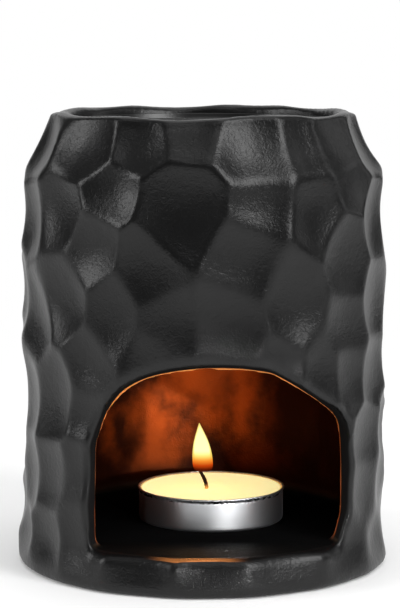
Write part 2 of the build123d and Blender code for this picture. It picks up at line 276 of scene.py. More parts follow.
class Finishes(bpy.types.PropertyGroup):
    """Colours of the burner."""

    glaze: colour("Glaze", "The satin black glaze", (0.0042, 0.0042, 0.0043))
    copper: colour("Copper lustre", "The fired lustre inside the chamber", (0.56, 0.090, 0.008))
    copper_burnt: colour("Burnt lustre", "The darker patches of the lustre", (0.035, 0.006, 0.001))
    # The highlight lustre colour is a painted highlight of the flame's light on the sill and the window's
    # top edge
    copper_highlight: colour("Worn lustre", "The lustre along the sill and the window's top", (1.0, 0.37, 0.11))
    # The splay colour is painted shade: a matt glaze that keeps the window's splayed sides dark
    splay: colour("Splay", "The glaze on the window's splayed sides", (0.010, 0.0095, 0.0095))
    foil: colour("Foil", "The tealight's cup", (0.88, 0.89, 0.91))
    # The foil crease colour is painted shade in the creases under the cup's rim
    foil_crease_shade: colour("Foil crease", "The dark creases under the cup's rim", (0.03, 0.03, 0.035))
    wax: colour("Wax", "The tealight's wax", (1.0, 0.90, 0.44))
    wax_cloud: colour("Wax cloud", "The paler clouds in the wax", (1.0, 0.92, 0.48))
    wax_edge: colour("Wax edge", "The wax where it meets the foil", (0.62, 0.30, 0.07))
    flame_light: colour("Flame light", "Light of the flame", (1.0, 0.50, 0.17))


class Wire:
    """A node's output, which takes part in sums as a number does."""

    def __init__(self, socket):
        self.socket = socket
        self.tree = socket.id_data

    def __add__(self, other):
        return calc("ADD", self, other)

    def __sub__(self, other):
        return calc("SUBTRACT", self, other)

    def __rsub__(self, other):
        return calc("SUBTRACT", other, self)

    def __mul__(self, other):
        return calc("MULTIPLY", self, other)

    def __truediv__(self, other):
        return calc("DIVIDE", self, other)

    def __abs__(self):
        return calc("ABSOLUTE", self)

    __radd__, __rmul__ = __add__, __mul__


def fill(tree, sockets, values):
    """Gives sockets their values by name or number, as links where they come from other nodes."""
    for key, value in values.items():
        if isinstance(value, Wire):
            tree.links.new(value.socket, sockets[key])
        else:
            sockets[key].default_value = value


def settle(made, settings):
    """Gives a new thing its settings."""
    for name, value in settings.items():
        setattr(made, name, value)
    return made


def put(tree, kind, values=(), **settings):
    """A new node with its settings and the values of its sockets, in order or by name or number."""
    made = settle(tree.nodes.new(kind), settings)
    fill(tree, made.inputs, values if isinstance(values, dict) else dict(enumerate(values)))
    return made


def take(tree, kind, values=(), output=0, **settings):
    """What a new node gives."""
    return Wire(put(tree, kind, values, **settings).outputs[output])


def tree_of(values):
    """The tree that the first wire among some values is in."""
    return next(value.tree for value in values if isinstance(value, Wire))


def calc(operation, *values):
    """The result of a sum."""
    return take(tree_of(values), "ShaderNodeMath", values, operation=operation)


def larger(first, second):
    """The larger of two values."""
    return calc("MAXIMUM", first, second)


def root_of(value):
    """The square root of a value, or nothing where the value is negative."""
    return calc("SQRT", larger(value, 0.0))


def aim(operation, *values):
    """The result of a sum of vectors."""
    output = 1 if operation in ("DOT_PRODUCT", "LENGTH") else 0
    return take(tree_of(values), "ShaderNodeVectorMath", values, output, operation=operation)


def scaled(vector, factor):
    """A vector made longer or shorter."""
    return take(vector.tree, "ShaderNodeVectorMath", {0: vector, "Scale": factor}, operation="SCALE")


def split(vector):
    """The three parts of a vector."""
    return [Wire(part) for part in put(vector.tree, "ShaderNodeSeparateXYZ", (vector,)).outputs]


def join(*parts):
    """A vector from its parts."""
    return take(tree_of(parts), "ShaderNodeCombineXYZ", parts)


def ramp(value, start, end, low=0.0, high=1.0):
    """A soft step from one value to another as something goes from start to end."""
    values = (value, start, end, low, high)
    return take(value.tree, "ShaderNodeMapRange", values, interpolation_type="SMOOTHSTEP")


def near(value, middle, close, away):
    """One within a close distance of a middle value, falling to nothing farther away."""
    return ramp(abs(value - middle), close, away, 1.0, 0.0)


def noise(place, scale, detail=2.0, roughness=0.5, distortion=0.0, output=0):
    """A cloudy pattern between nothing and one."""
    values = {0: place, 2: scale, 3: detail, 4: roughness, 8: distortion}
    return take(place.tree, "ShaderNodeTexNoise", values, output)


def stretched(place, y=1.0, z=1.0):
    """Coordinates that count for more or less backwards and upwards."""
    return take(place.tree, "ShaderNodeMapping", {0: place, 3: (1.0, y, z)})


def blend(factor, first, second):
    """A colour between two others."""
    ends = [end if isinstance(end, Wire) else (*end, 1.0) for end in (first, second)]
    return take(factor.tree, "ShaderNodeMix", {0: factor, 6: ends[0], 7: ends[1]}, 2, data_type="RGBA")


def dented(skin, strength, depth):
    """The way a surface faces where a pattern dents it."""
    return take(skin.tree, "ShaderNodeBump", {0: strength, 1: depth, 3: skin})


def new_material(name):
    """A material with its tree and the object's own coordinates."""
    material = bpy.data.materials.new(name)
    material.use_nodes = True
    return material, material.node_tree, take(material.node_tree, "ShaderNodeTexCoord", output="Object")


def shade(tree, values):
    """Sets the main shader of a material."""
    fill(tree, tree.nodes["Principled BSDF"].inputs, values)


def show(tree, surface):
    """Shows another surface in place of a material's main shader."""
    tree.nodes.remove(tree.nodes["Principled BSDF"])
    fill(tree, tree.nodes["Material Output"].inputs, {0: surface})


def glow(tree, tone, strength):
    """A surface that shines."""
    return take(tree, "ShaderNodeEmission", (tone, strength))


def seen(tree):
    """One where the camera, gloss or glass looks, nothing where light only falls."""
    ray = put(tree, "ShaderNodeLightPath").outputs
    camera, gloss, glass = (Wire(ray[f"Is {way} Ray"]) for way in ("Camera", "Glossy", "Transmission"))
    return larger(larger(camera, gloss), glass)


def from_axis(place, centre=(0, 0)):
    """Distance from an upright line, and the height."""
    x, y, height = split(place)
    across, back = x - centre[0], y - centre[1]
    return calc("SQRT", across * across + back * back), height


def linked(name, data):
    """A new object in the scene."""
    made = bpy.data.objects.new(name, data)
    bpy.context.scene.collection.objects.link(made)
    return made


def start_mesh(name, vertices, faces):
    """A new object from points and faces."""
    mesh = bpy.data.meshes.new(name)
    mesh.from_pydata([tuple(point) for point in vertices], [], faces)
    mesh.update()
    return linked(name, mesh)


def smooth(piece):
    """Shades a piece smoothly."""
    piece.data.polygons.foreach_set("use_smooth", [True] * len(piece.data.polygons))
    piece.data.update()
    return piece


def finish_mesh(build, mesh):
    """Turns a mesh's faces outwards and ends its building."""
    bmesh.ops.recalc_face_normals(build, faces=build.faces)
    build.to_mesh(mesh)
    build.free()


def turned(name, outline, steps, centre=(0, 0)):
    """A closed piece turned about an upright line from (radius, height) points that start and end there."""
    build = bmesh.new()
    rings = []
    for radius, height in outline:
        count = 1 if radius < tiny else steps
        turns = [tau * step / steps for step in range(count)]
        rings.append([
            build.verts.new((centre[0] + radius * sin(turn), centre[1] - radius * cos(turn), height))
            for turn in turns
        ])
    for low, high in zip(rings, rings[1:]):
        if len(low) == 1 and len(high) == 1:
            continue
        for step in range(steps):
            corners = ((low, step), (low, step + 1), (high, step + 1), (high, step))
            build.faces.new(dict.fromkeys(ring[at % len(ring)] for ring, at in corners))
    bmesh.ops.remove_doubles(build, verts=build.verts, dist=tiny)
    mesh = bpy.data.meshes.new(name)
    finish_mesh(build, mesh)
    return smooth(linked(name, mesh))


def rounded(corners, steps=6):
    """An outline through (radius, height, rounding) corners, rounded as far as their neighbours allow."""
    points = []
    for at, (across, up, rounding) in enumerate(corners):
        here = Vector((across, up))
        if rounding == 0 or at in (0, len(corners) - 1):
            points.append((across, up))
            continue
        before = Vector(corners[at - 1][:2]) - here
        after = Vector(corners[at + 1][:2]) - here
        reach = min(rounding / tan(before.angle(after) / 2), before.length / 2, after.length / 2)
        start = here + before.normalized() * reach
        end = here + after.normalized() * reach
        for step in range(steps + 1):
            part = step / steps
            points.append(tuple(start * (1 - part) ** 2 + here * (2 * part * (1 - part)) + end * part ** 2))
    return points


def arc_through(start, middle, end, steps):
    """Points of the arc through three points, without its first."""
    (ax, ay), (bx, by), (cx, cy) = start, middle, end
    area = 2 * (ax * (by - cy) + bx * (cy - ay) + cx * (ay - by))
    a, b, c = ax ** 2 + ay ** 2, bx ** 2 + by ** 2, cx ** 2 + cy ** 2
    centre_x = (a * (by - cy) + b * (cy - ay) + c * (ay - by)) / area
    centre_y = (a * (cx - bx) + b * (ax - cx) + c * (bx - ax)) / area
    first = atan2(ay - centre_y, ax - centre_x)
    sweep = (atan2(cy - centre_y, cx - centre_x) - first) % tau
    if (atan2(by - centre_y, bx - centre_x) - first) % tau > sweep:
        sweep -= tau
    size = sqrt((ax - centre_x) ** 2 + (ay - centre_y) ** 2)
    turns = [first + sweep * (step + 1) / steps for step in range(steps)]
    return [(centre_x + size * cos(turn), centre_y + size * sin(turn)) for turn in turns]


def change(piece, kind, **settings):
    """A new modifier on a piece."""
    return settle(piece.modifiers.new(kind.lower(), kind), settings)


def run_tree(piece, name, recipe, material, values):
    """Runs a recipe on a piece, as a tree with named inputs, and keeps the result as its plain mesh."""
    tree = bpy.data.node_groups.new(name, "GeometryNodeTree")
    for way in ("INPUT", "OUTPUT"):
        tree.interface.new_socket("Geometry", in_out=way, socket_type="NodeSocketGeometry")
    for label, value in values.items():
        kind = "NodeSocket" + socket_kinds[type(value)]
        tree.interface.new_socket(label, in_out="INPUT", socket_type=kind)
    given = put(tree, "NodeGroupInput").outputs
    geometry = recipe({label: Wire(given[label]) for label in ("Geometry", *values)})
    geometry = take(tree, "GeometryNodeSetShadeSmooth", (geometry,))
    geometry = take(tree, "GeometryNodeRealizeInstances", (geometry,))
    geometry = take(tree, "GeometryNodeSetMaterial", {0: geometry, 2: material})
    put(tree, "NodeGroupOutput", (geometry,))
    modifier = change(piece, "NODES", node_group=tree)
    for item in tree.interface.items_tree:
        if item.in_out == "INPUT" and item.name in values:
            modifier[item.identifier] = values[item.name]
    return keep_result(piece)


def keep_result(piece):
    """Turns what a piece's modifiers make of it into its plain mesh."""
    bpy.context.view_layer.update()
    ready = piece.evaluated_get(bpy.context.evaluated_depsgraph_get())
    mesh = bpy.data.meshes.new_from_object(ready)
    mesh.name = piece.name
    piece.modifiers.clear()
    if piece.type == "MESH":
        piece.data = mesh
        return piece
    name = piece.name
    bpy.data.objects.remove(piece)
    return linked(name, mesh)


def dress(piece, body, slot, *nodes):
    """Lets a piece ride on a body and hides the parts of the nodes that it stands for; the slot is not used.
    """
    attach(piece, body)
    if nodes:
        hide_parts(*nodes)


def clouded(place, finishes, darkest):
    """How cloudy the glaze is at a place, and its colour there."""
    cloudy = noise(place, 90.0)
    return cloudy, blend(cloudy, [darkest * part for part in finishes.glaze], finishes.glaze)


def glaze_material(pot, finishes):
    """Black satin glaze, copper lustre in the chamber, painted highlights at sill and window edge, painted
    shade on the splay.
    """
    material, tree, place = new_material("black glaze and copper lustre")
    radius, height = from_axis(place)
    x, y = split(place)[:2]
    depth = take(tree, "ShaderNodeAttribute", output="Fac", attribute_name=wall_depth)
    at_cut = take(tree, "ShaderNodeAttribute", output="Fac", attribute_name=window_edge)
    floor = pot.floor_height
    ceiling = pot.height - pot.ceiling_drop
    chamber = pot.foot_radius - pot.wall_thickness

    # Where the lining and the splayed sides of the window begin
    wander = (noise(place, 160.0) - 0.5) * (0.9 * mm)
    # At the window's top the copper reaches further out over the splay, widening the painted highlight there
    over_top = ramp(height, 36 * mm, 52 * mm, 0.0, 2.0 * mm) * at_cut
    inside = ramp(depth + wander + over_top, pot.wall_thickness - 1.5 * mm, pot.wall_thickness - 0.9 * mm)
    over_sill = ramp(height, floor + 0.5 * mm, floor + 1.5 * mm)
    # The window's splayed sides: matt glaze without gloss, as painted shade
    splay = at_cut * over_sill * ramp(depth, 0.7 * mm, 1.8 * mm)
    over_floor = ramp(height, floor + 0.5 * mm, floor + 3.5 * mm)
    lining = inside * over_floor * ramp(height, ceiling + 5 * mm, ceiling + 2 * mm)

    # The lustre: bright patches on a burnt ground, darker low down and to the right, a painted highlight at
    # the window's edge
    mottled = noise(place, 480.0) * 0.10
    patches = ramp(noise(stretched(place, z=0.66), 56.0, 2.0, 0.55) + mottled, 0.45, 0.67)
    broad = ramp(noise(place, 34.0, 1.0), 0.38, 0.60, 0.22, 1.0)
    low = ramp(height, 12 * mm, 19 * mm) * ramp(height, 20 * mm, 38 * mm, 0.60, 0.80)
    darker_right = ramp(x, 6 * mm, 24 * mm, 1.0, 0.3)
    # The window's inner edge gets the bright lustre as a painted highlight of the flame's light
    edge_highlight = at_cut * inside
    bright = larger(patches * broad * (low * darker_right), edge_highlight)
    lustre = blend(bright, finishes.copper_burnt, finishes.copper)

    # The sill: a short copper line along the middle of its front edge, with a painted highlight of the
    # flame's light on it
    front = ramp(depth, 0.35 * mm, 0.8 * mm) * ramp(depth, 3.6 * mm, 2.2 * mm)
    ahead = ramp(y, -0.80 * pot.foot_radius, -0.86 * pot.foot_radius)
    sideways = near(x, -1.5 * mm, 3 * mm, 14 * mm)
    sill = front * ahead * sideways * near(height, floor - 0.2 * mm, 0.3 * mm, 0.7 * mm)
    copper = larger(lining, sill * 0.9)
    # Painted highlight: brighter copper on the sill's line and the window's edge, growing towards the
    # window's top
    painted_highlight = larger(sill, edge_highlight * ramp(height, 30 * mm, 50 * mm, 0.3, 1.0))

    # The glaze: a little cloudy, dull on the chamber's floor, and matt on the splayed sides as painted shade
    cloudy, tone = clouded(place, finishes, 0.7)
    glaze = blend(splay, tone, finishes.splay)
    on_floor = ramp(height, floor + 1.2 * mm, floor + 0.4 * mm)
    on_floor *= ramp(radius, chamber + 3.5 * mm, chamber + 1.5 * mm)
    dull = cloudy * 0.08 + 0.28 + (lining * 0.10 - sill * 0.15) + on_floor * 0.26
    hidden = larger(on_floor * ramp(y, -40 * mm, -26 * mm, 0.92, 1.0), splay)
    skin = noise(place, 1150.0, 2.0, 0.55, 1.0) + noise(place, 330.0, 1.0) * 0.8
    shade(tree, {
        "Base Color": blend(copper, glaze, blend(painted_highlight, lustre, finishes.copper_highlight)),
        "Metallic": copper * 0.8, "Roughness": dull, "Normal": dented(skin, 0.6, 0.14 * mm),
        "Specular IOR Level": glaze_gloss - hidden * glaze_gloss,
    })
    return material


def shoulder(pot):
    """Centre, radius and start of the arc by which the wall leans in to the rim."""
    start = pot.height - pot.shoulder_drop
    waist = pot.foot_radius - pot.wall_taper
    top = pot.mouth_radius + pot.rim_wall
    rise = pot.height - pot.rim_round - start
    centre = (waist ** 2 - top ** 2 - rise ** 2) / (2 * (waist - top))
    return centre, waist - centre, start


def wall_place(pot, height):
    """Radius of the smooth wall at a height, and how far its face leans back there."""
    centre, curve, start = shoulder(pot)
    if height <= start:
        return pot.foot_radius - pot.wall_taper * height / start, atan2(pot.wall_taper, start)
    lean = asin((height - start) / curve)
    return centre + curve * cos(lean), lean


def pot_outline(pot):
    """The pot's section before the hammering: foot, wall, rim, ledge, ceiling and floor."""
    centre, curve, start = shoulder(pot)
    rim_start = pot.height - pot.rim_round
    top_lean = asin((rim_start - start) / curve)
    ring_inner = pot.foot_radius - pot.foot_ring_width
    lip = pot.mouth_radius + pot.rim_wall / 2
    ledge = pot.height - pot.ledge_drop
    under = ledge - pot.ledge_thickness
    ledge_radius = pot.mouth_radius - pot.ledge_width
    chamber = pot.foot_radius - pot.wall_thickness
    foot = rounded([
        (0, pot.foot_ring_height, 0),
        (ring_inner, pot.foot_ring_height, 1 * mm),
        (ring_inner + pot.foot_ring_height / 2, 0, 1 * mm),
        (pot.foot_radius, 0, pot.foot_round),
        (pot.foot_radius - pot.wall_taper, start, 0),
    ])
    lean = [top_lean * step / wall_rows for step in range(1, wall_rows + 1)]
    wall = [(centre + curve * cos(turn), start + curve * sin(turn)) for turn in lean]
    turns = [pi * step / rim_rows for step in range(1, rim_rows + 1)]
    rim = [(lip + pot.rim_wall / 2 * cos(turn), rim_start + pot.rim_round * sin(turn)) for turn in turns]
    inside = rounded([
        (pot.mouth_radius, rim_start, 0),
        (pot.mouth_radius, ledge, 0.6 * mm),
        (ledge_radius, ledge, 0.8 * mm),
        (ledge_radius, under, 0.8 * mm),
        (pot.mouth_radius + pot.ledge_width, under, 3 * mm),
        (chamber, pot.height - pot.ceiling_drop, 14 * mm),
        (chamber, pot.floor_height, pot.floor_cove),
        (0, pot.floor_height, 0),
    ])
    return foot + wall + rim + inside[1:]


def window_outline(pot, window, depth):
    """The window's outline on one upright plane, as points (across, up)."""
    waist = pot.foot_radius - pot.wall_taper

    def place(shares):
        from_middle = window.shift + shares[0] * window.width / 2
        inward = depth + sqrt(waist ** 2 - from_middle ** 2)
        drop = shares[1] ** 2 * window.top_splay * inward
        up = pot.floor_height + shares[1] * window.height - drop
        return from_middle - shares[0] * window.side_splay * inward, up

    points = [place(window_shares[0])]
    at = 0
    while at < len(window_shares) - 1:
        arc = window_shares[at + 1][2]
        at += 2 if arc else 1
        end = place(window_shares[at])
        points += arc_through(points[-1], place(window_shares[at - 1]), end, arc_steps) if arc else [end]
    return points


def window_cutter(pot, window):
    """What the window takes out of the wall, splayed towards the outside."""
    depths = (-pot.foot_radius - 4 * mm, -(pot.foot_radius - pot.wall_thickness) / 2)
    rings = [[(x, depth, z) for x, z in window_outline(pot, window, depth)] for depth in depths]
    count = len(rings[0])
    faces = [(at, (at + 1) % count, count + (at + 1) % count, count + at) for at in range(count)]
    faces += [tuple(range(count))[::-1], tuple(range(count, 2 * count))]
    cutter = start_mesh("window_cutter", rings[0] + rings[1], faces)
    build = bmesh.new()
    build.from_mesh(cutter.data)
    finish_mesh(build, cutter.data)
    return cutter


def marks(name, places):
    """Loose points that carry a radius, as (x, y, z, radius)."""
    made = start_mesh(name, [place[:3] for place in places], [])
    radii = made.data.attributes.new(ball_radius, "FLOAT", "POINT")
    radii.data.foreach_set("value", [place[3] for place in places])
    return made


def hammer_marks(pot, hammer):
    """Centres of the balls that stand for the hammer's blows."""
    places = []
    for turn, up, deep, wide in front_strike_shares + back_strike_shares:
        wall, lean = wall_place(pot, up * pot.height)
        turned_by = radians(turn)
        outward = Vector((sin(turned_by) * cos(lean), -cos(turned_by) * cos(lean), sin(lean)))
        struck = Vector((wall * sin(turned_by), -wall * cos(turned_by), up * pot.height))
        radius = wide * hammer.radius
        places.append((*(struck + outward * (radius - deep * hammer.depth)), radius))
    return marks("hammer_marks", places)


def dip_marks(pot, hammer):
    """Centres of the balls that press the dips into the rim."""
    middle = pot.mouth_radius + pot.rim_wall / 2
    places = []
    for turn, deep, wide in rim_dip_shares:
        radius = wide * hammer.dip_radius
        up = pot.height - deep * hammer.dip_depth + radius
        places.append((middle * sin(radians(turn)), -middle * cos(radians(turn)), up, radius))
    return marks("dip_marks", places)


def stored(geometry, name, value):
    """Geometry that carries a value under a name."""
    return take(geometry.tree, "GeometryNodeStoreNamedAttribute", {0: geometry, 2: name, 3: value})


def recalled(tree, name):
    """A value that the geometry carries."""
    return take(tree, "GeometryNodeInputNamedAttribute", (name,))


def moved(geometry, offset):
    """Geometry whose points are moved by a vector."""
    return take(geometry.tree, "GeometryNodeSetPosition", {0: geometry, 3: offset})


def shape_of(source):
    """The geometry of an object."""
    return take(source.tree, "GeometryNodeObjectInfo", (source,), "Geometry")


def go_round(geometry, source, name, first, reach):
    """Stores a value and lowers it softly to what each mark of a source reaches."""
    tree = geometry.tree
    start, finish = put(tree, "GeometryNodeRepeatInput"), put(tree, "GeometryNodeRepeatOutput")
    start.pair_with_output(finish)
    spots = shape_of(source)
    size = take(tree, "GeometryNodeAttributeDomainSize", (spots,))
    fill(tree, start.inputs, {0: size, 1: stored(geometry, name, first)})
    turn, going = (Wire(start.outputs[at]) for at in (0, 1))
    place = take(tree, "GeometryNodeInputPosition")
    spot = take(tree, "GeometryNodeSampleIndex", (spots, place, turn), data_type="FLOAT_VECTOR")
    radius = take(tree, "GeometryNodeSampleIndex", (spots, recalled(tree, ball_radius), turn))
    lower = reach(spot, radius, recalled(tree, name))
    fill(tree, finish.inputs, {0: stored(going, name, lower)})
    return Wire(finish.outputs[0]), recalled(tree, name)


def hammered(want):
    """Beats the blows into the wall and the dips into the rim."""
    tree = want["Geometry"].tree
    place = take(tree, "GeometryNodeInputPosition")
    x, y, height = split(place)
    level = join(x, y)
    outward, radius = aim("NORMALIZE", level), aim("LENGTH", level)
    to_cut = take(tree, "GeometryNodeProximity", (shape_of(want["Window"]),), "Distance")
    passes, at_lip = want["Lip passes"], ramp(to_cut, 0.6 * mm, want["Lip round"], 1.0, 0.0)
    eased = take(tree, "GeometryNodeBlurAttribute", (place, passes, at_lip), data_type="FLOAT_VECTOR")

    start, curve = want["Shoulder start"], want["Shoulder curve"]
    taper = want["Wall taper"] * calc("MINIMUM", height, start) / start
    rise = larger(height - start, 0.0)
    wall = want["Foot radius"] - taper - (curve - root_of(curve * curve - rise * rise))

    drift = aim("SUBTRACT", noise(place, 38.0, 1.0, output=1), (0.5, 0.5, 0.5))
    strayed = split(aim("ADD", place, scaled(drift, want["Blow drift"])))
    towards = aim("NORMALIZE", join(*strayed[:2]))
    softness = want["Ridge softness"] * ramp(noise(place, 34.0, 1.0), 0.38, 0.64, 0.9, 2.9)

    def blow(spot, ball, now):
        """Where the level ray from the axis enters one ball, if it does so well away from the axis."""
        along = aim("DOT_PRODUCT", towards, spot)
        across, back, up = split(spot)
        up = strayed[2] - up
        root = along * along - (across * across + back * back + up * up - ball * ball)
        enters = along - root_of(root)
        meets = calc("GREATER_THAN", root, 0.0) * calc("GREATER_THAN", enters, least_entry)
        return calc("SMOOTH_MIN", now, enters * meets + (1.0 - meets), softness)

    def dip(spot, ball, now):
        """How low one ball lies over a point of the rim."""
        away = aim("MULTIPLY", aim("SUBTRACT", place, spot), (1.0, 1.0, 0.0))
        under = root_of(ball * ball - aim("DOT_PRODUCT", away, away))
        return calc("SMOOTH_MIN", now, split(spot)[2] - under, rim_softness)

    geometry = stored(want["Geometry"], window_edge, ramp(to_cut, 0.8 * mm, 1.6 * mm, 1.0, 0.0))
    geometry = stored(geometry, wall_depth, wall - radius)
    geometry = take(tree, "GeometryNodeSetPosition", {0: geometry, 2: eased})
    geometry, struck = go_round(geometry, want["Hammer marks"], "struck", wall, blow)
    geometry, dipped = go_round(geometry, want["Dip marks"], "dipped", want["Height"], dip)
    carried = ramp((wall - radius) / want["Carry"], 0.0, 1.0, 1.0, want["Inner share"])
    inner = ramp(radius, 24 * mm, 34 * mm)
    foot = ramp(height, 0.0, want["Foot fade"], 0.35, 1.0)
    wander = (noise(place, 55.0, 1.0) - 0.5) * want["Wander"]
    push = (wall - struck) * carried * (inner * foot)
    near_rim = ramp(want["Height"] - height, 0.0, want["Dip reach"], 1.0, 0.0)
    down = join(0.0, 0.0, (dipped - want["Height"]) * near_rim)
    geometry = moved(geometry, aim("ADD", scaled(outward, wander * inner - push), down))
    for name in ("struck", "dipped"):
        geometry = take(tree, "GeometryNodeRemoveAttribute", (geometry, name))
    return geometry


class BURNER_OT_glazed_shell(bpy.types.Operator):
    """Turns the pot, cuts its window, hammers it and glazes it"""

    bl_idname = "burner.glazed_shell"
    bl_label = "Hammered pot"

    def execute(self, context):
        scene = context.scene
        pot, hammer, window = scene.burner_pot, scene.burner_hammer, scene.burner_window
        shell = turned("glazed_shell", pot_outline(pot), pot_steps)
        cutter = window_cutter(pot, window)
        change(shell, "BOOLEAN", object=cutter, solver="EXACT")
        change(shell, "REMESH", mode="VOXEL", voxel_size=pot.clay_grain)
        change(shell, "SMOOTH", factor=0.5, iterations=3)
        keep_result(shell)
        blows, dips = hammer_marks(pot, hammer), dip_marks(pot, hammer)
        curve, start = shoulder(pot)[1:]
        run_tree(shell, "hammered wall", hammered, glaze_material(pot, scene.burner_finishes), {
            "Hammer marks": blows, "Dip marks": dips, "Window": cutter, "Height": pot.height,
            "Foot radius": pot.foot_radius, "Wall taper": pot.wall_taper, "Shoulder start": start,
            "Shoulder curve": curve, "Ridge softness": hammer.ridge_softness, "Carry": hammer.carry,
            "Inner share": hammer.inner_share, "Foot fade": hammer.foot_fade, "Wander": hammer.wander,
            "Blow drift": hammer.drift, "Dip reach": hammer.dip_reach, "Lip round": window.lip_round,
            "Lip passes": window.lip_passes,
        })
        for spare in (cutter, blows, dips):
            bpy.data.objects.remove(spare)
        dress(shell, "burner", "black_glaze", "burner_shell")
        return {"FINISHED"}


def dish_material(finishes):
    """The same glaze on the dish, a little glossier."""
    material, tree, place = new_material("black glaze of the dish")
    cloudy, tone = clouded(place, finishes, 0.75)
    shade(tree, {
        "Base Color": tone, "Roughness": cloudy * 0.10 + 0.24,
        "Normal": dented(noise(place, 700.0, 2.0, 0.6, 1.2), 0.25, 0.08 * mm),
    })
    return material


class BURNER_OT_well_dish(bpy.types.Operator):
    """Turns the dish for water and oil and sets it in the mouth"""

    bl_idname = "burner.well_dish"
    bl_label = "Oil dish"

    def execute(self, context):
        pot, dish = context.scene.burner_pot, context.scene.burner_dish
        ledge = pot.height - pot.ledge_drop
        outer = pot.mouth_radius - dish.gap
        well_outer = outer - pot.ledge_width
        well = well_outer - dish.wall
        top = ledge + dish.rim_height
        bottom = top - dish.depth
        outline = rounded([
            (0, bottom - dish.wall, 0),
            (well_outer, bottom - dish.wall, dish.bottom_round),
            (well_outer, ledge, 0),
            (outer, ledge, 0.3 * mm),
            (outer, top + dish.fillet, 0.2 * mm),
            (outer - 0.4 * mm, top + dish.fillet, 0.2 * mm),
            (outer - 0.9 * mm, top, dish.fillet),
            (well, top, 1.6 * mm),
            (well, bottom, dish.bottom_round),
            (0, bottom, 0),
        ], 10)
        piece = turned("well_dish", outline, dish_steps)
        piece.data.materials.append(dish_material(context.scene.burner_finishes))
        dress(piece, "burner", "black_glaze", "oil_dish")
        return {"FINISHED"}


def tealight_sizes(context):
    """The tealight's sizes and the height of the floor that it stands on."""
    return context.scene.burner_tealight, context.scene.burner_pot.floor_height


def foil_material(light, floor, finishes):
    """Bright rolled foil with fine draw lines, and painted shade in the creases under its rolled rim."""
    material, tree, place = new_material("pressed foil")
    under_bead = near(split(place)[2], floor + light.height - light.bead - 0.45 * mm, 0.25 * mm, 0.55 * mm)
    creases = ramp(noise(stretched(place, z=2.2), 520.0, 3.0, 0.6), 0.47, 0.57)
    # Painted shade: the foil goes dark in the creases under its rolled rim
    crease_shade = under_bead * (creases * ramp(noise(place, 110.0, 1.0), 0.36, 0.50))
    lines = noise(stretched(place, z=12.0), 420.0, 3.0, 0.6)
    skin = noise(place, 130.0) * 1.3 + lines * 0.03
    shade(tree, {
        "Base Color": blend(crease_shade, finishes.foil, finishes.foil_crease_shade), "Metallic": 1.0,
        "Roughness": lines * 0.06 + 0.36, "Normal": dented(skin, 0.5, 0.12 * mm),
    })
    return material


def crimped(want):
    """Crimps the wall under the rolled rim and dents the rim a little, unevenly."""
    place = take(want["Geometry"].tree, "GeometryNodeInputPosition")
    x, y, z = split(aim("SUBTRACT", place, want["Centre"]))
    outward = aim("NORMALIZE", join(x, y))
    uneven = noise(outward, 6.0)
    wave = calc("SINE", calc("ARCTAN2", y, x) * want["Crimps"] + uneven * 9.0)
    at_bead = near(z, want["Bead height"], 0.05 * mm, 0.75 * mm)
    share_here = at_bead * (ramp(noise(outward, 2.3, 1.0), 0.35, 0.62) * 0.75 + 0.25)
    depth = want["Crimp depth"]
    inward = wave * depth * share_here - depth * share_here
    sway = (uneven - 0.62) * (at_bead * (0.3 * mm))
    return moved(want["Geometry"], aim("ADD", scaled(outward, inward), join(0.0, 0.0, sway)))


class BURNER_OT_foil_cup(bpy.types.Operator):
    """Presses the tealight's cup and crimps its rim"""

    bl_idname = "burner.foil_cup"
    bl_label = "Tealight cup"

    def execute(self, context):
        light, floor = tealight_sizes(context)
        bead_height = floor + light.height - light.bead
        bead_centre = light.radius - light.bead
        inner = bead_centre - light.bead
        outer = inner + light.foil
        top = bead_height - light.bead
        outside = rounded([(0, floor, 0), (outer, floor, 0.9 * mm), (outer, top, 0)], 8)[:-1]
        foot = outside[-1][1]
        outside += [(outer, foot + (top - foot) * step / cup_rows) for step in range(1, cup_rows + 1)]
        turns = [radians(bead_start + bead_sweep * step / bead_rows) for step in range(bead_rows + 1)]
        rim = [
            (bead_centre + light.bead * cos(turn), bead_height + light.bead * sin(turn)) for turn in turns
        ]
        bottom = floor + light.foil
        inside = rounded([(inner, bead_height, 0), (inner, bottom, 0.7 * mm), (0, bottom, 0)], 8)
        centre = (light.place_x, light.place_y)
        cup = turned("foil_cup", outside + rim + inside[1:], cup_steps, centre)
        material = foil_material(light, floor, context.scene.burner_finishes)
        run_tree(cup, "crimped foil", crimped, material, {
            "Centre": (*centre, 0.0), "Bead height": bead_height - 0.2 * mm,
            "Crimp depth": light.crimp_depth, "Crimps": light.crimps,
        })
        dress(cup, "tealight", "pressed_aluminium", "tealight_cup")
        return {"FINISHED"}


def wax_material(light, finishes):
    """Warm, slightly translucent wax, with a painted glow that stands in for the flame's light from above.
    """
    material, tree, place = new_material("lit wax")
    radius = from_axis(place, (light.place_x, light.place_y))[0]
    edge = ramp(radius, light.radius - 1.25 * mm, light.radius - 0.75 * mm)
    pale = blend(noise(place, 70.0), finishes.wax, finishes.wax_cloud)
    tint = blend(edge, pale, finishes.wax_edge)
    shade(tree, {
        "Base Color": tint, "Emission Color": tint, "Emission Strength": wax_painted_glow, "Roughness": 0.38,
        "Subsurface Weight": 0.5, "Subsurface Radius": (1.0, 0.55, 0.2), "Subsurface Scale": 3 * mm,
        "Normal": dented(noise(place, 260.0), 0.2, 0.05 * mm),
    })
    return material


